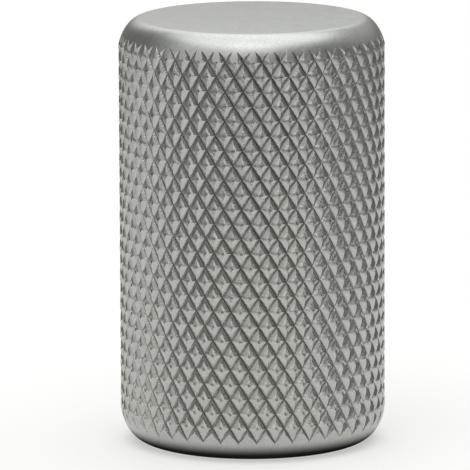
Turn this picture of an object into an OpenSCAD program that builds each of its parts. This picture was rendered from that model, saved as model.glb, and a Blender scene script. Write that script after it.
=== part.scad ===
// Knurled knob: a solid metal pull turned from one piece of bar.
//
// Two sets of V grooves cross on the side and leave flat-topped diamonds, which
// keep the bar's own round surface. The top is flat, and its rounded edge trims
// the last row of diamonds. The grooves run out into a plain band above the
// rounded bottom edge. A tapped blind hole in the base takes the screw that
// holds the knob.
//
// Millimetres. The knob stands on Z = 0 with its axis on Z.

/* [Knob] */
// Diameter over the diamonds
knob_d = 20; // [16:0.1:30]
// Height from the base to the flat top
knob_h = 32.1; // [22:0.1:44]

/* [Rounded top edge] */
// Width of the rounding, from the rim in to the flat top
top_edge_w = 1.7; // [0.8:0.1:3]
// Height of the rounding, taken as a full quarter turn
top_edge_h = 3.6; // [1.5:0.1:5]
// How far outside the rim that quarter turn ends, which leaves a crisp rim
top_edge_out = 0.2; // [0:0.05:0.4]

/* [Rounded bottom edge] */
// Width of the rounding, from the rim in to the base face
bottom_edge_w = 2.1; // [0.8:0.1:3]
// Height of the rounding
bottom_edge_h = 2.95; // [1.5:0.05:5]

/* [Diamond knurl] */
// Diamonds around the knob
knurl_count = 45; // [32:1:54]
// Slope of the grooves, measured from the axis
knurl_angle = 32.4; // [26:0.1:36]
// Depth of the grooves
knurl_depth = 0.3; // [0.15:0.05:0.45]
// Angle between the two flanks of a groove
groove_angle = 90; // [70:5:110]
// Lean of the upright rows of diamonds from the axis
knurl_lean = 1; // [0:0.5:3]
// Height at which the lowest grooves would meet, just below where they run out
knurl_start = 1.54; // [0.5:0.02:4]
// Depth of the grooves at that height, where the knurling wheel lifts off
knurl_start_depth = 0.1; // [0:0.05:0.15]

/* [Tapped hole in the base] */
// Bore before the thread is cut, 3.3 for an M4 screw
hole_d = 3.3; // [2.4:0.1:6.8]
// Depth of the full-width bore
hole_depth = 12; // [6:0.5:18]
// Point angle of the drill
drill_angle = 118; // [90:1:150]
// Width of the countersink around the mouth
mouth_bevel = 0.5; // [0.2:0.1:1]

/* [Hidden] */

$fn = 96;

knob_r = knob_d / 2;
hole_r = hole_d / 2;
past_end = 1;
edge_steps = 12;

// The knurl's grid: one step from a diamond's middle to the next crossing of
// two grooves, around the knob and up it, and the turn of the lean for each
// step up.
columns = 2 * knurl_count;
step_around = PI * knob_d / columns;
step_up = step_around / tan(knurl_angle);
step_lean = atan(step_up * tan(knurl_lean) / knob_r);
rows = ceil((knob_h - knurl_start) / step_up) + 1;

// Radius where the grooves cross, and where the flanks of one diamond would
// meet in a point outside the bar.
crossing_r = knob_r - knurl_depth;
peak_r = crossing_r + step_around * cos(knurl_angle) / tan(groove_angle / 2);

// A piece of an ellipse about (cx, cz), as profile points from a0 to a1.
function edge_points(cx, cz, rx, rz, a0, a1) =
    [for (i = [0:edge_steps])
        let (a = a0 + (a1 - a0) * i / edge_steps)
        [cx + rx * cos(a), cz + rz * sin(a)]];

// Peaks and crossings alternate around each row and from row to row.
function is_crossing(column, row) = (column + row) % 2 != 0;

function grid_r(column, row) =
    row < 0 || !is_crossing(column, row) ? peak_r
    : row == 0 ? knob_r - knurl_start_depth
    : crossing_r;

// The outline that the lathe leaves, without the grooves.
module turned_blank() {
    top_rx = top_edge_w + top_edge_out;
    rotate_extrude()
        polygon(concat(
            [[0, 0]],
            edge_points(knob_r - bottom_edge_w, bottom_edge_h,
                        bottom_edge_w, bottom_edge_h, -90, 0),
            edge_points(knob_r - top_edge_w, knob_h - top_edge_h,
                        top_rx, top_edge_h, acos(top_edge_w / top_rx), 90),
            [[0, knob_h]]));
}

// The grooves' own surface, wrapped round the axis past both ends of the knob.
// It is a grid of peaks and crossings. Each cell folds along its groove, from
// crossing to crossing, so the peaks become pyramids of four flats.
module groove_surface() {
    points = [for (row = [-1:rows], column = [0:columns - 1])
        let (
            r = grid_r(column, row),
            a = 360 * column / columns + row * step_lean - 90,
            z = row < 0 ? -past_end : knurl_start + row * step_up
        )
        [r * cos(a), r * sin(a), z]];
    side = [for (row = [-1:rows - 1], column = [0:columns - 1])
        let (
            next = (column + 1) % columns,
            low = (row + 1) * columns, up = low + columns
        )
        each is_crossing(column, row)
            ? [[low + column, up + column, up + next],
               [low + column, up + next, low + next]]
            : [[low + column, up + column, low + next],
               [low + next, up + column, up + next]]];
    bottom_cap = [for (column = [0:columns - 1]) column];
    top_cap = [for (column = [columns - 1:-1:0]) (rows + 1) * columns + column];
    polyhedron(points, concat(side, [bottom_cap, top_cap]), convexity = 4);
}

// A drilled blind hole with a countersunk mouth, up from the base.
module tapped_hole() {
    rotate_extrude()
        polygon([
            [0, -past_end],
            [hole_r + mouth_bevel + past_end, -past_end],
            [hole_r, mouth_bevel],
            [hole_r, hole_depth],
            [0, hole_depth + hole_r / tan(drill_angle / 2)]]);
}

module knob() {
    color("silver")
        difference() {
            intersection() {
                turned_blank();
                groove_surface();
            }
            tapped_hole();
        }
}

knob();
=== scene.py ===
# %% [markdown]
# # A diamond-knurled pull knob
# The knob is one solid piece of metal: a turned bar with rounded ends, a diamond
# knurl pressed into its side, and a tapped hole in its base for the fixing screw.
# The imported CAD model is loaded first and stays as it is. It gives the true size,
# and the finished piece made here stands for its one node.

# %% Load the frame
import math

import bmesh
import bpy
from mathutils import Matrix, Vector


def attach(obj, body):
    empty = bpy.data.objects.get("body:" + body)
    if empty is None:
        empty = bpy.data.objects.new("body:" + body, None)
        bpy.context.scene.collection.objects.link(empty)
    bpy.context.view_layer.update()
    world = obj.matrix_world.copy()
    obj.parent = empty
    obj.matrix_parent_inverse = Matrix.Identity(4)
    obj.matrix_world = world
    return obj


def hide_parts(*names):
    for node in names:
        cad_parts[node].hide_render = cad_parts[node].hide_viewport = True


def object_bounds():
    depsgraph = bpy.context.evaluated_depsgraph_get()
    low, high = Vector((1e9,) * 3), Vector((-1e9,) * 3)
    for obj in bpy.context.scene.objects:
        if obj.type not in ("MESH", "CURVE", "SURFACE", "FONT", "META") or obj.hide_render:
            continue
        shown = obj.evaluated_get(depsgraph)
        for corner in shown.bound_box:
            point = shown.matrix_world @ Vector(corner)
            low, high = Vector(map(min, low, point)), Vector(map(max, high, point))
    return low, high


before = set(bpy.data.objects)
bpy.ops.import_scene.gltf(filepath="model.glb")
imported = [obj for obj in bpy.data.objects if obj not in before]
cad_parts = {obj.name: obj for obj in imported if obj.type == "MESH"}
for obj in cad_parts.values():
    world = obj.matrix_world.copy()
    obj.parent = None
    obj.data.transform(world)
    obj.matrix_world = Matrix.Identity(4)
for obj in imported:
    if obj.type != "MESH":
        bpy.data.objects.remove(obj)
cad_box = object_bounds()
scene = bpy.context.scene
print("CAD box in mm:", [[round(1000 * v, 2) for v in corner] for corner in cad_box])

# %% [markdown]
# The sizes come next, in millimetres, because that is how a knob is dimensioned.
# Everything is modelled in millimetres and scaled to metres once, at the end. The
# diameter and the height are read from the CAD box, so that the two can't differ.

# %% Sizes
MM = 0.001
bar_r = (cad_box[1].x - cad_box[0].x) / 2 / MM
height = (cad_box[1].z - cad_box[0].z) / MM

top_edge_w, top_edge_h, top_edge_out = 1.7, 3.6, 0.2
bottom_edge_w, bottom_edge_h = 2.1, 2.95

diamonds = 45
knurl_angle = math.radians(32.4)
knurl_lean = math.radians(1.0)
knurl_depth = 0.3
knurl_start = 1.54

hole_r, hole_depth, drill_angle = 1.65, 12.0, math.radians(118)
mouth_bevel = 0.5
thread_r, thread_pitch, thread_length = 2.0, 0.7, 9.5

half_width = math.pi * bar_r / diamonds
half_height = half_width / math.tan(knurl_angle)
print(f"bar {2 * bar_r:.1f} x {height:.1f} mm, diamond {2 * half_width:.2f} x {2 * half_height:.2f} mm")

# %% [markdown]
# Node trees are built in code, and a few helpers keep that short. `add` makes a
# node with its settings and inputs, and `out` gives the first result of such a
# node. `calc` is one Math node, `vec` one Vector Math node and `ramp` one Map
# Range node. These exist in geometry and in shader trees alike, so both kinds of
# tree use the same helpers.

# %% Helpers for node trees
def feed(tree, socket, value):
    """Links a socket, or sets a plain value."""
    if isinstance(value, bpy.types.NodeSocket):
        tree.links.new(value, socket)
    else:
        socket.default_value = value


def add(tree, kind, inputs=None, **settings):
    """Makes a node, with its settings, and its inputs by name or number."""
    node = tree.nodes.new(kind)
    for name, value in settings.items():
        setattr(node, name, value)
    for key, value in (inputs or {}).items():
        live = [s for s in node.inputs if s.enabled and s.name == key]
        feed(tree, live[0] if live else node.inputs[key], value)
    return node


def out(tree, kind, inputs=None, **settings):
    """Makes a node and gives its first result that is in use."""
    return next(s for s in add(tree, kind, inputs, **settings).outputs if s.enabled)


def calc(tree, operation, *values):
    return out(tree, "ShaderNodeMath", dict(enumerate(values)), operation=operation)


def vec(tree, operation, *values):
    return out(tree, "ShaderNodeVectorMath", dict(enumerate(values)), operation=operation)


def scaled(tree, vector, factor):
    return out(tree, "ShaderNodeVectorMath", {"Vector": vector, "Scale": factor}, operation="SCALE")


def xyz(tree, x=0.0, y=0.0, z=0.0):
    return out(tree, "ShaderNodeCombineXYZ", {0: x, 1: y, 2: z})


def split(tree, vector):
    return add(tree, "ShaderNodeSeparateXYZ", {0: vector}).outputs


def ramp(tree, value, start, end, low=0.0, high=1.0, smooth=False):
    """Runs from low to high while the value runs from start to end, and stays level outside."""
    ends = {"Value": value, "From Min": start, "From Max": end, "To Min": low, "To Max": high}
    return out(tree, "ShaderNodeMapRange", ends, interpolation_type="SMOOTHSTEP" if smooth else "LINEAR")


# %% [markdown]
# A tree's own inputs are named for the sizes on the real object. The same helper
# makes geometry and shader groups, through `interface.new_socket`.

# %% Helpers for groups and their inputs
def new_group(name, kind, inputs, outputs):
    """A node group. Each input is (name, socket type, default), each output (name, socket type)."""
    tree = bpy.data.node_groups.new(name, kind)
    new_socket = tree.interface.new_socket
    for label, socket_type, default in inputs:
        socket = new_socket(label, in_out="INPUT", socket_type="NodeSocket" + socket_type)
        if default is not None:
            socket.default_value = default
    for label, socket_type in outputs:
        new_socket(label, in_out="OUTPUT", socket_type="NodeSocket" + socket_type)
    return tree, add(tree, "NodeGroupInput").outputs, add(tree, "NodeGroupOutput").inputs


def by_step(tree, step, values):
    """A value picked from a short list by a whole number."""
    switch = add(tree, "GeometryNodeIndexSwitch", data_type="FLOAT")
    while len(switch.index_switch_items) < len(values):
        switch.index_switch_items.new()
    for number, value in enumerate([step, *values]):
        feed(tree, switch.inputs[number], value)
    return switch.outputs[0]


def mark(tree, geometry, name, value, domain="POINT"):
    """Stores a number on each point or instance, for later steps and for the finish."""
    inputs = {"Geometry": geometry, "Name": name, "Value": value}
    return out(tree, "GeometryNodeStoreNamedAttribute", inputs, data_type="FLOAT", domain=domain)


def read(tree, name):
    return out(tree, "GeometryNodeInputNamedAttribute", {"Name": name}, data_type="FLOAT")


def here(tree):
    return out(tree, "GeometryNodeInputPosition")


def moved(tree, geometry, **inputs):
    return out(tree, "GeometryNodeSetPosition", {"Geometry": geometry, **inputs})


def welded(tree, geometry, gap=0.0005):
    """Joins points that lie less than the gap apart, in millimetres."""
    return out(tree, "GeometryNodeMergeByDistance", {"Geometry": geometry, "Distance": gap})


def polar(tree, angle, radius, z):
    """A point from its angle round the axis, its radius and its height."""
    direction = xyz(tree, calc(tree, "COSINE", angle), calc(tree, "SINE", angle))
    return vec(tree, "ADD", scaled(tree, direction, radius), xyz(tree, z=z))


# %% [markdown]
# ## The diamond
# Two knurling wheels press crossing sets of V-shaped grooves, and a full, slightly
# crowned diamond is left between them, with a small pit where the metal didn't
# quite fill the wheel. The second set of grooves also pushes metal back into the
# first, so that one set stays clear and the other is half closed at one end of
# every stroke. A plain pyramid shows none of that. A finely sculpted diamond would,
# but it is repeated over a thousand times and has to stay light. So one diamond is
# drawn as five rings, from the pit out to the groove, which makes a tile of 48
# faces. A ring tile has an edge on each corner, where a square grid would cut
# across it.
#
# The outlines of the diamond and of its pit come first. Both are followed by a
# turn, which runs from 0 to 1 on the way round, starting at the right corner.

# %% The outlines of a diamond and its pit
def triangle_wave(tree, turn, phase):
    """Runs straight from 1 to -1 and back again in one turn."""
    share = calc(tree, "FRACT", calc(tree, "ADD", turn, phase))
    folded = calc(tree, "ABSOLUTE", calc(tree, "MULTIPLY_ADD", share, 4.0, -2.0))
    return calc(tree, "SUBTRACT", folded, 1.0)


def diamond_outline(tree, given, turn):
    """A diamond is two triangle waves, a quarter of a turn apart."""
    across = calc(tree, "MULTIPLY", triangle_wave(tree, turn, 0.0), given["Half width"])
    upright = calc(tree, "MULTIPLY", triangle_wave(tree, turn, 0.75), given["Half height"])
    return xyz(tree, across, upright)


def pit_outline(tree, given, turn):
    """The pit is a small ellipse that lies along one set of grooves."""
    angle = calc(tree, "SUBTRACT", calc(tree, "MULTIPLY", turn, math.tau), given["Pit turn"])
    across = calc(tree, "MULTIPLY", calc(tree, "COSINE", angle), given["Pit width"])
    upright = calc(tree, "MULTIPLY", calc(tree, "SINE", angle), given["Pit length"])
    leaning = {"Vector": xyz(tree, across, upright), "Angle": given["Pit turn"]}
    return out(tree, "ShaderNodeVectorRotate", leaning, rotation_type="Z_AXIS")


# %% [markdown]
# The tile starts as a flat grid. Its columns go round the diamond in 12 strokes,
# and the last one closes on the first. Its rows are the rings. Every point of the
# grid then moves to its place. What changes from ring to ring or from stroke to
# stroke is a short list, read by number. Strokes are counted from the right
# corner, so the top is stroke 3, the left corner 6 and the bottom 9. Three masks
# are stored on the points: `pit` for what sinks, `lap` for metal pushed back into
# a groove, and `groove` for where the finish paints shade and makes the metal dull.

# %% The diamond tile
def lap_mask(tree, stroke, ring):
    """The half-closed grooves: the upper left and the lower right side of the tile.

    The two tiles beside such a groove give it the same numbers, and it is clear at
    the corners, where the other set crosses it.
    """
    lap = by_step(tree, stroke, [0.0] * 4 + [0.3, 1.0] + [0.0] * 4 + [1.0, 0.3, 0.0])
    return calc(tree, "MULTIPLY", lap, by_step(tree, ring, [0.0, 0.0, 0.0, 0.25, 1.0]))


def diamond_tile():
    sides, rings = 12, 4
    tree, given, result = new_group(
        "diamond tile",
        "GeometryNodeTree",
        [
            ("Half width", "Float", half_width),
            ("Half height", "Float", half_height),
            ("Groove depth", "Float", knurl_depth),
            ("Fullness", "Float", 3.2),
            ("Skew", "Vector", (0.06, 0.03, 0.0)),
            ("Pit length", "Float", 0.15),
            ("Pit width", "Float", 0.1),
            ("Pit turn", "Float", knurl_angle),
        ],
        [("Tile", "Geometry")],
    )
    counts = {"Size X": 1.0, "Size Y": float(rings), "Vertices X": sides + 1, "Vertices Y": rings + 1}
    grid = out(tree, "GeometryNodeMeshGrid", counts)
    spot = split(tree, here(tree))
    turn = calc(tree, "SUBTRACT", 0.5, spot[0])
    stroke = calc(tree, "ROUND", calc(tree, "MULTIPLY", turn, float(sides)))
    ring = calc(tree, "ROUND", calc(tree, "ADD", spot[1], rings / 2))

    # The height falls from the middle to the groove, slowly first and then fast.
    size = by_step(tree, ring, [0.0, 0.0, 0.4, 0.74, 1.0])
    fallen = calc(tree, "POWER", size, given["Fullness"])
    level = calc(tree, "MULTIPLY", given["Groove depth"], calc(tree, "SUBTRACT", 1.0, fallen))

    # The crest is cut back along its lower right side, where the wheel leaves it.
    cut_back = by_step(tree, stroke, [0.0] * 10 + [1.0, 1.0, 0.0])
    cut_back = calc(tree, "MULTIPLY", cut_back, by_step(tree, ring, [0.0, 0.0, 0.22, 0.12, 0.0]))
    reach = calc(tree, "SUBTRACT", size, cut_back)

    # Only the second ring follows the pit, and the crest sits a little off the middle.
    spread = scaled(tree, diamond_outline(tree, given, turn), reach)
    pit = scaled(tree, pit_outline(tree, given, turn), by_step(tree, ring, [0.0, 1.0, 0.0, 0.0, 0.0]))
    skew = scaled(tree, given["Skew"], by_step(tree, ring, [1.0, 1.0, 1.0, 0.5, 0.0]))
    spread = vec(tree, "ADD", spread, vec(tree, "ADD", pit, skew))

    # The masks are worked out on the flat grid, so they are stored before it moves.
    # Painted shade and duller metal lie in the grooves, less where a lap closes them, and in the pit.
    lap = lap_mask(tree, stroke, ring)
    dull = by_step(tree, ring, [0.9, 0.75, 0.0, 0.3, 1.0])
    tile = mark(tree, grid, "groove", calc(tree, "MULTIPLY_ADD", lap, -0.5, dull))
    tile = mark(tree, tile, "lap", lap)
    tile = mark(tree, tile, "pit", by_step(tree, ring, [1.0, 0.0, 0.0, 0.0, 0.0]))
    tile = moved(tree, tile, Position=vec(tree, "ADD", spread, xyz(tree, z=level)))
    feed(tree, result["Tile"], welded(tree, tile))
    print(f"diamond tile: {sides * rings} faces, {sides * (2 * rings - 1)} triangles")
    return tree


tile_tree = diamond_tile()

# %% [markdown]
# ## Closing a tube
# The knurled skin and the thread are both rolled into open tubes, and the cuts
# that follow only work on closed solids. So each open end is drawn to one point
# on the axis, well outside the part that stays. Both trees need this, which makes
# it a group of its own, and both end in the same way: no instances are left, and
# every face has its finish.

# %% Close both ends of a tube
def closed_ends():
    tree, given, result = new_group(
        "closed ends",
        "GeometryNodeTree",
        [("Tube", "Geometry", None), ("Low end", "Float", 0.0), ("High end", "Float", 1.0)],
        [("Solid", "Geometry")],
    )
    faces_beside = out(tree, "GeometryNodeInputMeshEdgeNeighbors")
    rim = {"A": faces_beside, "B": 1}
    rim = out(tree, "FunctionNodeCompare", rim, data_type="INT", operation="EQUAL")
    grown = {"Mesh": given["Tube"], "Selection": rim, "Offset Scale": 0.0}
    grown = add(tree, "GeometryNodeExtrudeMesh", grown, mode="EDGES").outputs
    middle = calc(tree, "MULTIPLY", calc(tree, "ADD", given["Low end"], given["High end"]), 0.5)
    upper = calc(tree, "GREATER_THAN", split(tree, here(tree))[2], middle)
    end = {"Factor": upper, "A": given["Low end"], "B": given["High end"]}
    end = out(tree, "ShaderNodeMix", end, data_type="FLOAT")
    drawn = moved(tree, grown[0], Selection=grown[1], Position=xyz(tree, z=end))
    feed(tree, result["Solid"], welded(tree, drawn))
    return tree


def finished_solid(tree, tube, low_end, high_end, finish):
    """Closes a tube and gives it its finish, which is how both trees end."""
    solid = {"Tube": tube, "Low end": low_end, "High end": high_end}
    solid = out(tree, "GeometryNodeGroup", solid, node_tree=ends_tree)
    solid = out(tree, "GeometryNodeRealizeInstances", {"Geometry": solid})
    return out(tree, "GeometryNodeSetMaterial", {"Geometry": solid, "Material": finish})


ends_tree = closed_ends()
print("closed ends:", len(ends_tree.nodes), "nodes")

# %% [markdown]
# ## The knurled bar
# A V swept along 90 helices could cut the grooves, but then every diamond would
# have a plain top. So the skin is built of tiles instead. The lattice is laid out
# flat first: columns half a diamond apart, rows half a diamond up, and a tile on
# every other point. Flat, the pattern is easy to see and to weld. Pressed knurling
# is never perfect, so each diamond gets a random number, which sets how deep its
# pit is.

# %% The flat lattice
def flat_lattice(tree, given, columns, across):
    """Points in columns, counted upwards one column after another, with a tile on every other one."""
    up, rows = given["Half height"], given["Rows"]
    points = out(tree, "GeometryNodePoints", {"Count": calc(tree, "MULTIPLY", columns, rows)})
    index = out(tree, "GeometryNodeInputIndex")
    # Half a point is added, so that rounding can't put a point in the column before.
    column = calc(tree, "FLOOR", calc(tree, "DIVIDE", calc(tree, "ADD", index, 0.5), rows))
    row = calc(tree, "ADD", calc(tree, "FLOORED_MODULO", index, rows), given["First row"])
    x = calc(tree, "MULTIPLY", column, across)
    y = calc(tree, "MULTIPLY_ADD", row, up, given["Start height"])
    odd = calc(tree, "FLOORED_MODULO", calc(tree, "ADD", column, row), 2.0)
    sizes = {"Half width": across, "Half height": up, "Groove depth": given["Groove depth"]}
    tiles = {
        "Points": moved(tree, points, Position=xyz(tree, x, y)),
        "Selection": calc(tree, "LESS_THAN", odd, 0.5),
        "Instance": out(tree, "GeometryNodeGroup", sizes, node_tree=tile_tree),
    }
    tiles = out(tree, "GeometryNodeInstanceOnPoints", tiles)
    chance = out(tree, "FunctionNodeRandomValue", {"Seed": given["Seed"]}, data_type="FLOAT")
    tiles = mark(tree, tiles, "tooth", chance, "INSTANCE")
    return out(tree, "GeometryNodeRealizeInstances", {"Geometry": tiles})


def sunk_pits(tree, sheet, depth):
    """Sinks the pits, each by its own amount, and spreads painted shade and duller metal in the deep
    ones.
    """
    least, spread = 0.2, 1.8
    share = calc(tree, "MULTIPLY_ADD", read(tree, "tooth"), 1.0 - least, least)
    sink = calc(tree, "MULTIPLY", share, read(tree, "pit"))
    sheet = mark(tree, sheet, "groove", calc(tree, "MULTIPLY_ADD", sink, spread, read(tree, "groove")))
    down = calc(tree, "MULTIPLY", depth, -1.0)
    return moved(tree, sheet, Offset=xyz(tree, z=calc(tree, "MULTIPLY", sink, down)))


# %% [markdown]
# Then the sheet is rolled round the bar, where a length along it becomes an angle
# and a height above it becomes radius. A slow noise pulls the surface in by up to
# a few hundredths of a millimetre, so that no two diamonds are quite alike. It
# only ever pulls in, which keeps the knurl inside the bar's diameter.

# %% Rolling and pressing
def rolled_up(tree, sheet, given):
    """Rolls the sheet round the bar, with its first column to the front."""
    radius = given["Bar radius"]
    spot = split(tree, here(tree))
    along = calc(tree, "MULTIPLY_ADD", spot[1], calc(tree, "TANGENT", given["Lean"]), spot[0])
    around = calc(tree, "SUBTRACT", calc(tree, "DIVIDE", along, radius), math.pi / 2)
    reach = calc(tree, "ADD", calc(tree, "SUBTRACT", radius, given["Groove depth"]), spot[2])
    return welded(tree, moved(tree, sheet, Position=polar(tree, around, reach, spot[1])))


def pressed_unevenly(tree, tube, given):
    """Pulls the surface in unevenly. The laps lift it, by more in some grooves than in others."""
    where = here(tree)
    noise = out(tree, "ShaderNodeTexNoise", {"Vector": where, "Scale": 1.6, "Detail": 2.0})
    # The noise is a half on average, so it is doubled to keep the lap's own height.
    lift = calc(tree, "MULTIPLY", calc(tree, "MULTIPLY", noise, 2.0), given["Lap height"])
    lift = calc(tree, "MULTIPLY", lift, read(tree, "lap"))
    offset = calc(tree, "SUBTRACT", lift, calc(tree, "MULTIPLY", noise, given["Unevenness"]))
    outward = vec(tree, "NORMALIZE", vec(tree, "MULTIPLY", where, (1.0, 1.0, 0.0)))
    return moved(tree, tube, Offset=scaled(tree, outward, offset))


# %% [markdown]
# One tree puts these steps together, with an input for each size of the real bar.
# Both ends run on past the bar by more than the blank will leave.

# %% The knurled bar
def knurled_bar():
    tree, given, result = new_group(
        "knurled bar",
        "GeometryNodeTree",
        [
            ("Geometry", "Geometry", None),
            ("Bar radius", "Float", 10.0),
            ("Diamonds around", "Int", 45),
            ("First row", "Int", -2),
            ("Rows", "Int", 31),
            ("Half height", "Float", 1.1),
            ("Start height", "Float", 1.54),
            ("Groove depth", "Float", 0.3),
            ("Lean", "Float", 0.0),
            ("Pit depth", "Float", 0.12),
            ("Lap height", "Float", 0.065),
            ("Unevenness", "Float", 0.03),
            ("Overrun", "Float", 6.0),
            ("Seed", "Int", 5),
            ("Finish", "Material", None),
        ],
        [("Geometry", "Geometry")],
    )
    columns = calc(tree, "MULTIPLY", given["Diamonds around"], 2.0)
    across = calc(tree, "DIVIDE", calc(tree, "MULTIPLY", given["Bar radius"], math.tau), columns)
    sheet = flat_lattice(tree, given, columns, across)
    sheet = sunk_pits(tree, sheet, given["Pit depth"])
    tube = pressed_unevenly(tree, rolled_up(tree, sheet, given), given)

    last_row = calc(tree, "ADD", given["Rows"], given["First row"])
    top = calc(tree, "MULTIPLY_ADD", last_row, given["Half height"], given["Start height"])
    low_end = calc(tree, "MULTIPLY", given["Overrun"], -1.0)
    high_end = calc(tree, "ADD", top, given["Overrun"])
    feed(tree, result[0], finished_solid(tree, tube, low_end, high_end, given["Finish"]))
    return tree


knurl_tree = knurled_bar()
print("knurled bar:", len(knurl_tree.nodes), "nodes")

# %% [markdown]
# ## The thread
# The hidden side has what a pull of this size has: a blind hole drilled for an M4
# screw, tapped, with a bevelled mouth. The thread is the shape of the tap that
# cuts it. A profile swept along a helix could make one, but its turns would only
# touch, and a cut needs one closed skin. A grid rolled round the axis is one, with
# each column a little further along the screw line than the last. Six rows make
# one turn: crest, crest, flank, root, root, flank. The thread fades out short of
# the drilled bottom, as a tap's does, and the bevel takes over at the mouth.

# %% The tap's outline
rows_per_turn, turns_below, fading_turns = 6.0, 4.0, 1.5
below_mouth = -1.0


def tap_radius(tree, given, z, row):
    """The larger of the thread and the bevel, which grows below the mouth."""
    drill, pitch, length = (given[n] for n in ("Drill radius", "Pitch", "Thread length"))
    step = calc(tree, "FLOORED_MODULO", row, rows_per_turn)
    form = by_step(tree, step, [0.0, 0.0, 0.5, 1.0, 1.0, 0.5])
    gone = calc(tree, "MULTIPLY_ADD", pitch, fading_turns, length)
    fade = ramp(tree, z, length, gone, 1.0, 0.0)
    tooth = calc(tree, "SUBTRACT", given["Thread radius"], drill)
    thread = calc(tree, "MULTIPLY_ADD", calc(tree, "MULTIPLY", form, fade), tooth, drill)
    low = calc(tree, "MAXIMUM", z, below_mouth)
    mouth = calc(tree, "SUBTRACT", calc(tree, "ADD", drill, given["Mouth bevel"]), low)
    return calc(tree, "MAXIMUM", thread, mouth)


# %% [markdown]
# The grid starts four turns below the mouth and ends past the bottom of the hole.
# Its height is held between a millimetre below the mouth and the bottom, so that
# what runs over lies flat on one end or the other, and then both ends are closed.

# %% The tap
def tap_shape():
    tree, given, result = new_group(
        "tap",
        "GeometryNodeTree",
        [
            ("Geometry", "Geometry", None),
            ("Drill radius", "Float", 1.65),
            ("Thread radius", "Float", 2.0),
            ("Pitch", "Float", 0.7),
            ("Thread length", "Float", 9.5),
            ("Hole depth", "Float", 12.0),
            ("Point length", "Float", 1.0),
            ("Mouth bevel", "Float", 0.5),
            ("Sides", "Int", 40),
            ("Finish", "Material", None),
        ],
        [("Geometry", "Geometry")],
    )
    pitch, depth = given["Pitch"], given["Hole depth"]
    turns = calc(tree, "CEIL", calc(tree, "ADD", calc(tree, "DIVIDE", depth, pitch), turns_below + 1.0))
    rows = calc(tree, "MULTIPLY", turns, rows_per_turn)
    grid = {
        "Size X": 1.0,
        "Size Y": rows,
        "Vertices X": calc(tree, "ADD", given["Sides"], 1.0),
        "Vertices Y": calc(tree, "ADD", rows, 1.0),
    }
    grid = out(tree, "GeometryNodeMeshGrid", grid)
    spot = split(tree, here(tree))
    turn = calc(tree, "ADD", spot[0], 0.5)
    row = calc(tree, "ROUND", calc(tree, "ADD", spot[1], calc(tree, "DIVIDE", rows, 2.0)))
    along = calc(tree, "ADD", calc(tree, "DIVIDE", row, rows_per_turn), turn)
    z = calc(tree, "MULTIPLY", calc(tree, "SUBTRACT", along, turns_below), pitch)

    angle = calc(tree, "MULTIPLY", turn, math.tau)
    held = calc(tree, "MINIMUM", calc(tree, "MAXIMUM", z, below_mouth), depth)
    rolled = polar(tree, angle, tap_radius(tree, given, z, row), held)
    tube = welded(tree, moved(tree, grid, Position=rolled))
    point = calc(tree, "ADD", depth, given["Point length"])
    feed(tree, result[0], finished_solid(tree, tube, below_mouth, point, given["Finish"]))
    return tree


tap_tree = tap_shape()
print("tap:", len(tap_tree.nodes), "nodes")

# %% [markdown]
# ## The finish
# The metal is satin: blasted with fine beads after it was turned and knurled, so
# it has no turning lines and its reflections are soft. What the eye catches is a
# very fine grain, a faint mottling, and dull metal with painted shade in the grooves.
# A painted texture would need seams and would blur close up, so all of it is
# worked out from the place on the metal. Grain and mottling are the same on every
# surface of the knob, so they are one shader group, placed in each material with
# its own values.

# %% Blasted grain
def blasted_grain():
    tree, given, result = new_group(
        "blasted grain",
        "ShaderNodeTree",
        [("Grain size", "Float", 0.12), ("Mottle size", "Float", 0.8), ("Mottle", "Float", 0.5)],
        [("Height", "Float"), ("Tone", "Float"), ("Mottling", "Float")],
    )
    coords = add(tree, "ShaderNodeTexCoord").outputs["Object"]
    in_mm = scaled(tree, coords, 1 / MM)

    def noise(size):
        scale = calc(tree, "DIVIDE", 1.0, given[size])
        return out(tree, "ShaderNodeTexNoise", {"Vector": in_mm, "Scale": scale, "Detail": 2.0})

    # The grain gets more contrast about its middle, which stays at a half.
    grain, mottle = noise("Grain size"), noise("Mottle size")
    fine = calc(tree, "MULTIPLY_ADD", grain, 1.4, -0.2)
    swing = calc(tree, "MULTIPLY", calc(tree, "SUBTRACT", mottle, 0.5), given["Mottle"])
    feed(tree, result["Height"], grain)
    feed(tree, result["Tone"], calc(tree, "ADD", fine, swing))
    feed(tree, result["Mottling"], swing)
    return tree


grain_group = blasted_grain()
print("blasted grain:", len(grain_group.nodes), "nodes")

# %% [markdown]
# Two masks say where shade is painted on the metal. The knurl reads the `groove`
# mask that its tiles carry, and turns dull and dark with painted shade towards the
# bottom of the V. The round-over at the foot carries a thin line of painted shadow,
# dark and matt, where the knob meets whatever it stands on: low down, and outside
# the flat of the base.

# %% Masks for painted shade and dull metal
# The colour of the painted shade at the bottoms of the grooves.
painted_groove_shade = (0.10, 0.10, 0.095, 1.0)
# A painted shadow along the foot, and the heights and radii where it lies.
painted_foot_shadow = (0.02, 0.02, 0.019, 1.0)
shadow_top_height, shadow_full_height = 1.55, 0.4
shadow_start_radius, shadow_full_radius = 8.1, 8.6


def shaded_groove_mask(tree, amount):
    """Painted shade: the given amount at the bottom of a groove, and nothing on the flanks."""
    deep = add(tree, "ShaderNodeAttribute", attribute_name="groove").outputs["Fac"]
    return ramp(tree, deep, 0.6, 1.0, 0.0, amount)


def foot_shadow_mask(tree, amount):
    """Painted shadow: the given amount on the lowest part of the round-over, and nothing elsewhere."""
    place = add(tree, "ShaderNodeTexCoord").outputs["Object"]
    low = ramp(tree, split(tree, place)[2], shadow_top_height * MM, shadow_full_height * MM, 0.0, amount, smooth=True)
    outward = vec(tree, "LENGTH", vec(tree, "MULTIPLY", place, (1.0, 1.0, 0.0)))
    return calc(tree, "MULTIPLY", low, ramp(tree, outward, shadow_start_radius * MM, shadow_full_radius * MM))


# This prints where the painted shadow at the foot lies.
print(f"dirt at the foot: below {shadow_top_height} mm, outside a radius of {shadow_start_radius} mm")
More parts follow.
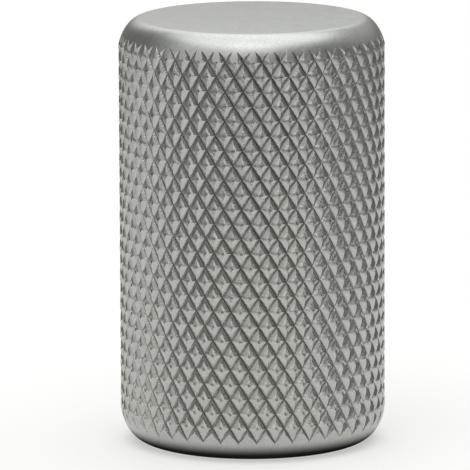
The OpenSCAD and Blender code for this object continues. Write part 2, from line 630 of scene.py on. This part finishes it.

# %% [markdown]
# Each material is a Principled shader with its constants on its own sockets. The
# grain tips every highlight a little through a bump, and the tone picks between a
# darker and a lighter grey of the same metal. The painted shadow at the foot is
# matt, so where it lies the foot loses its metallic reflections as well as its colour.

# %% Satin metal
dark_tone, light_tone = 0.8, 1.16
mottle_roughness, groove_roughness = 0.2, 0.3


def blend(tree, factor, low, high):
    """A colour between two others."""
    return out(tree, "ShaderNodeMix", {"Factor": factor, "A": low, "B": high}, data_type="RGBA")


def satin_metal(
    name, color, roughness, grain_depth, mottle=0.5, grain_size=0.12, groove_shading=0.0, foot_shade_amount=0.0
):
    material = bpy.data.materials.new(name)
    material.use_nodes = True
    tree = material.node_tree
    shader = tree.nodes["Principled BSDF"].inputs
    shader["Metallic"].default_value = 1.0
    grain = {"Mottle": mottle, "Grain size": grain_size}
    grain = add(tree, "ShaderNodeGroup", grain, node_tree=grain_group).outputs
    darker, lighter = ((*(c * tone for c in color), 1.0) for tone in (dark_tone, light_tone))
    shade = blend(tree, grain["Tone"], darker, lighter)
    rough = calc(tree, "MULTIPLY_ADD", grain["Mottling"], mottle_roughness, roughness)
    # Painted shade in the grooves, which are made duller as well.
    if groove_shading:
        dull = shaded_groove_mask(tree, groove_shading)
        shade = blend(tree, dull, shade, painted_groove_shade)
        rough = calc(tree, "MULTIPLY_ADD", dull, groove_roughness, rough)
    # A painted shadow at the foot: dark, matt and not metallic.
    if foot_shade_amount:
        shade_at_foot = foot_shadow_mask(tree, foot_shade_amount)
        shade = blend(tree, shade_at_foot, shade, painted_foot_shadow)
        feed(tree, shader["Metallic"], calc(tree, "SUBTRACT", 1.0, shade_at_foot))
        shader["Specular IOR Level"].default_value = 0.0
    feed(tree, shader["Base Color"], shade)
    feed(tree, shader["Roughness"], rough)
    bump = {"Strength": 1.0, "Distance": grain_depth * MM, "Height": grain["Height"]}
    feed(tree, shader["Normal"], out(tree, "ShaderNodeBump", bump))
    print(f"{name}: {len(tree.nodes)} nodes")
    return material


knurl_grey, end_grey, thread_grey = (0.485, 0.491, 0.455), (0.485, 0.495, 0.467), (0.49, 0.50, 0.475)
knurl_finish = satin_metal("blasted_knurl", knurl_grey, roughness=0.18, grain_depth=0.02, groove_shading=0.6)
end_finish = satin_metal("blasted_ends", end_grey, roughness=0.36, grain_depth=0.002, foot_shade_amount=1.0)
thread_finish = satin_metal("cut_thread", thread_grey, roughness=0.35, grain_depth=0.001)

# %% [markdown]
# ## The turned blank
# A lathe gives the outline: a flat base, a round-over whose section is a quarter
# of an ellipse, the straight bar, and a taller round-over up to the flat top. The
# upper one reaches a little past the bar, so it meets the side at a faint corner.
# A Screw modifier could turn the profile as well. Writing the rings out takes no
# more lines, and closes both poles.

# %% Lathe
def lathe(name, profile, sides):
    """A solid turned about Z, from a profile of (radius, height) that starts and ends on the axis."""
    points = [(0.0, 0.0, profile[0][1])]
    for radius, z in profile[1:-1]:
        for k in range(sides):
            angle = math.tau * k / sides
            points.append((radius * math.cos(angle), radius * math.sin(angle), z))
    points.append((0.0, 0.0, profile[-1][1]))
    last = len(points) - 1
    top = last - sides
    faces = []
    for k in range(sides):
        after = (k + 1) % sides
        faces.append((0, 1 + after, 1 + k))
        faces.append((last, top + k, top + after))
        for low in range(1, top, sides):
            faces.append((low + k, low + after, low + sides + after, low + sides + k))
    mesh = bpy.data.meshes.new(name)
    mesh.from_pydata(points, [], faces)
    return mesh


def rounded(center, reach, start, end, steps):
    """Points along part of an ellipse, from one angle to another."""
    angles = [start + (end - start) * k / steps for k in range(steps + 1)]
    return [(center[0] + reach[0] * math.cos(a), center[1] + reach[1] * math.sin(a)) for a in angles]


bottom_center = (bar_r - bottom_edge_w, bottom_edge_h)
top_center = (bar_r - top_edge_w, height - top_edge_h)
top_reach = (top_edge_w + top_edge_out, top_edge_h)
corner = math.acos(top_edge_w / top_reach[0])
profile = [(0.0, 0.0)]
profile += rounded(bottom_center, (bottom_edge_w, bottom_edge_h), -math.pi / 2, 0.0, steps=20)
profile += rounded(top_center, top_reach, corner, math.pi / 2, steps=24)
profile += [(0.0, height)]
blank_mesh = lathe("blank", profile, sides=180)
blank_mesh.materials.append(end_finish)
print("blank:", len(blank_mesh.polygons), "faces")

# %% [markdown]
# ## One solid from three
# The knurled bar is trimmed to the blank, which cuts the grooves off cleanly where
# the ends curve away, and the tap is then cut out of it. Booleans do both, as a
# lathe and a tap do. The manifold solver needs closed solids, which all three are,
# and takes a fraction of a second. A modifier's inputs are set by each socket's
# identifier, before the object is first evaluated.

# %% Build the solids
def tree_object(name, tree, **values):
    """An object whose mesh is made by a geometry tree."""
    thing = bpy.data.objects.new(name, bpy.data.meshes.new(name))
    scene.collection.objects.link(thing)
    modifier = thing.modifiers.new(name, "NODES")
    modifier.node_group = tree
    inputs = [item for item in tree.interface.items_tree if item.in_out == "INPUT"]
    sockets = {item.name: item.identifier for item in inputs}
    for label, value in values.items():
        modifier[sockets[label.replace("_", " ")]] = value
    return thing


def cut(thing, operation, tool):
    """Adds a boolean with another object to a thing."""
    modifier = thing.modifiers.new(operation, "BOOLEAN")
    modifier.operation = operation
    modifier.solver = "MANIFOLD"
    modifier.material_mode = "TRANSFER"
    modifier.object = tool


blank = bpy.data.objects.new("blank", blank_mesh)
scene.collection.objects.link(blank)
tap = tree_object(
    "tap",
    tap_tree,
    Drill_radius=hole_r,
    Thread_radius=thread_r,
    Pitch=thread_pitch,
    Thread_length=thread_length,
    Hole_depth=hole_depth,
    Point_length=hole_r / math.tan(drill_angle / 2),
    Mouth_bevel=mouth_bevel,
    Finish=thread_finish,
)
rows_below, rows_above = 2, 1
rough_knob = tree_object(
    "rough_knob",
    knurl_tree,
    Bar_radius=bar_r,
    Diamonds_around=diamonds,
    First_row=-rows_below,
    Rows=rows_below + math.ceil((height - knurl_start) / half_height) + rows_above,
    Half_height=half_height,
    Start_height=knurl_start,
    Groove_depth=knurl_depth,
    Lean=knurl_lean,
    Finish=knurl_finish,
)
cut(rough_knob, "INTERSECT", blank)
cut(rough_knob, "DIFFERENCE", tap)
print("rough knob:", [modifier.type for modifier in rough_knob.modifiers])

# %% [markdown]
# The evaluated result is copied to a plain mesh, so nothing live is left on the
# finished piece. It is scaled to metres in the mesh itself, and the object stays
# at the origin. Normals are smooth across gentle bends and sharp at the flanks.
# The tiles start with an empty material slot that no face uses, so it goes, and
# points that the cuts left less than a micrometre apart are joined.

# %% The finished piece
micrometre = 0.001 * MM
sharpest_smooth = math.radians(38)
bpy.context.view_layer.update()
depsgraph = bpy.context.evaluated_depsgraph_get()
knob_mesh = bpy.data.meshes.new_from_object(rough_knob.evaluated_get(depsgraph))
for tool in (rough_knob, blank, tap):
    bpy.data.objects.remove(tool)
knob_mesh.name = "knurled_knob"
if knob_mesh.materials[0] is None:
    knob_mesh.materials.pop(index=0)
knob_mesh.transform(Matrix.Scale(MM, 4))
joined = bmesh.new()
joined.from_mesh(knob_mesh)
bmesh.ops.remove_doubles(joined, verts=joined.verts, dist=micrometre)
joined.to_mesh(knob_mesh)
joined.free()
for polygon in knob_mesh.polygons:
    polygon.use_smooth = True
knob_mesh.set_sharp_from_angle(angle=sharpest_smooth)
knob = bpy.data.objects.new("knurled_knob", knob_mesh)
scene.collection.objects.link(knob)
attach(knob, "root")
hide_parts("knob")
knob_mesh.calc_loop_triangles()
print(f"knob: {len(knob_mesh.vertices)} points, {len(knob_mesh.loop_triangles)} triangles")
for number, material in enumerate(knob_mesh.materials):
    print(f"  {material.name}: {sum(p.material_index == number for p in knob_mesh.polygons)} faces")

# %% [markdown]
# ## Floor
# The knob stands on a sheet that runs on past the edge of the view, so it is the
# background as well. A pool of light is painted on it: white round the knob and
# behind it, turning to a painted grey shade some way out. The tops of the diamonds
# face straight out, so they mirror the grey part, and the flanks that face down
# mirror the white part.
# Half of the brightness that the camera and reflections see is steady, so the
# shadow at the foot of the knob stays light. The sheet lies a hair below the
# base, so that the two faces don't fight for one plane.

# %% Floor
# The painted pool of light: its white, its grey shade, its middle and its size.
sheet_white, painted_shade_grey = (0.97, 0.967, 0.96, 1.0), (0.31, 0.31, 0.305, 1.0)
pool_center, pool_reach = (0.0, 0.12, 0.0), (0.052, 0.135, 1.0)
shade_from = 1.9
steady = 0.5
half_sheet = 3.0
hair = 0.02 * MM


def paper(name):
    """A painted pool of light: white within an ellipse, and grey from 1.9 times its size outwards."""
    material = bpy.data.materials.new(name)
    material.use_nodes = True
    tree = material.node_tree
    shader = tree.nodes["Principled BSDF"].inputs
    shader["Roughness"].default_value = 1.0
    shader["Specular IOR Level"].default_value = 0.0
    spot = vec(tree, "SUBTRACT", add(tree, "ShaderNodeTexCoord").outputs["Object"], pool_center)
    away = vec(tree, "LENGTH", vec(tree, "DIVIDE", spot, pool_reach))
    shade = blend(tree, ramp(tree, away, 1.0, shade_from, smooth=True), sheet_white, painted_shade_grey)
    ray = add(tree, "ShaderNodeLightPath").outputs
    seen = calc(tree, "MAXIMUM", ray["Is Camera Ray"], ray["Is Glossy Ray"])
    seen = calc(tree, "MULTIPLY", calc(tree, "MAXIMUM", seen, ray["Is Transmission Ray"]), steady)
    feed(tree, shader["Base Color"], scaled(tree, shade, calc(tree, "SUBTRACT", 1.0, seen)))
    feed(tree, shader["Emission Color"], shade)
    feed(tree, shader["Emission Strength"], seen)
    return material


floor_mesh = bpy.data.meshes.new("floor")
corners = [(half_sheet * x, half_sheet * y, 0.0) for x, y in ((-1, -1), (1, -1), (1, 1), (-1, 1))]
floor_mesh.from_pydata(corners, [], [(0, 1, 2, 3)])
floor_mesh.materials.append(paper("sheet_with_painted_pool"))
floor = bpy.data.objects.new("floor", floor_mesh)
floor.location.z = -hair
scene.collection.objects.link(floor)
print(f"floor: {2 * half_sheet:.0f} x {2 * half_sheet:.0f} m, white round the knob")

# %% [markdown]
# ## Camera
# A long lens from half a metre away keeps the sides of the knob nearly parallel.
# The camera stands a little above the knob and looks down on it by ten degrees.
# Its place and its small turns are built from angles, and then its matrix is put
# together from three directions: right, up and back.

# %% Camera
distance, camera_height, orbit = 0.5, 0.10612, math.radians(2.553)
yaw, pitch, roll = math.radians(-0.149), math.radians(10.269), math.radians(-0.227)
lens = 516.8
ahead = Vector((math.sin(yaw) * math.cos(pitch), math.cos(yaw) * math.cos(pitch), -math.sin(pitch)))
side = Vector((math.cos(yaw), -math.sin(yaw), 0.0))
upward = side.cross(ahead)
right = math.cos(roll) * side + math.sin(roll) * upward
up = math.cos(roll) * upward - math.sin(roll) * side
turned = Matrix((right, up, -ahead)).transposed().to_4x4()
placed = Matrix.Translation((0.0, -distance, camera_height))
camera = bpy.data.objects.new("camera", bpy.data.cameras.new("camera"))
camera.data.sensor_width = 36.0
camera.data.lens = lens
camera.matrix_world = Matrix.Rotation(orbit, 4, "Z") @ placed @ turned
scene.collection.objects.link(camera)
scene.camera = camera
print("camera at", [round(v, 4) for v in camera.matrix_world.translation])

# %% [markdown]
# ## Light
# A satin cylinder shows its surroundings as broad, soft bands. A wide softbox
# hangs over the knob and makes the bright line round the top edge. It is placed by
# its azimuth and its elevation: azimuth 0 is in front of the knob and azimuth 90
# is on its right. Its level is how bright its face looks, where 1 is white, and a
# lamp's power for that is its level times pi times its area.

# %% Softbox
aim = Vector((0.0, 0.0, 0.016))


def toward(azimuth, elevation):
    """A direction from the knob, from two angles in degrees."""
    a, e = math.radians(azimuth), math.radians(elevation)
    return Vector((math.sin(a) * math.cos(e), -math.cos(a) * math.cos(e), math.sin(e)))


def softbox(name, level, width, depth, distance, azimuth, elevation):
    """A soft round lamp that faces the knob, with its sizes in metres."""
    light = bpy.data.lights.new(name, "AREA")
    light.shape, light.size, light.size_y = "ELLIPSE", width, depth
    light.energy = level * math.pi * math.pi * width * depth / 4
    lamp = bpy.data.objects.new(name, light)
    away = toward(azimuth, elevation)
    turn = away.to_track_quat("Z", "Y").to_matrix().to_4x4()
    lamp.matrix_world = Matrix.Translation(away * distance + aim) @ turn
    scene.collection.objects.link(lamp)
    return lamp


overhead = softbox("overhead", level=1.4, width=1.7, depth=1.7, distance=1.0, azimuth=0.0, elevation=90.0)
print(f"{overhead.name}: {overhead.data.energy:.1f} W")

# %% [markdown]
# The world adds a dim room: a little light all round, a screen behind that lights
# the flat top, with a dimmer one higher up on its right, and soft glows in front,
# on the left and low on the right. Each glow is full near its middle and fades out
# towards a wider angle.

# %% World
all_round = 0.2
# Brightness, azimuth, elevation, and the angles from its middle where the fade starts and ends.
glows = (
    (1.0, 191, 33, 2, 28),
    (0.95, 0, 0, 10, 28),
    (0.35, 147, 49, 28, 46),
    (0.6, 51, 0, 2, 28),
    (0.55, -44, 29, 2, 52),
    (0.75, 8, 55, 4, 25),
)

world = bpy.data.worlds.new("studio")
scene.world = world
world.use_nodes = True
room = world.node_tree
ray = add(room, "ShaderNodeTexCoord").outputs["Generated"]
level = all_round
for brightness, azimuth, elevation, inner, outer in glows:
    near = vec(room, "DOT_PRODUCT", ray, toward(azimuth, elevation))
    starts, full = math.cos(math.radians(outer)), math.cos(math.radians(inner))
    level = calc(room, "ADD", ramp(room, near, starts, full, 0.0, brightness, smooth=True), level)
background = room.nodes["Background"].inputs
background["Color"].default_value = (1.0, 1.0, 1.0, 1.0)
feed(room, background["Strength"], level)
scene.view_settings.view_transform = "Standard"
print("world:", len(glows), "glows")
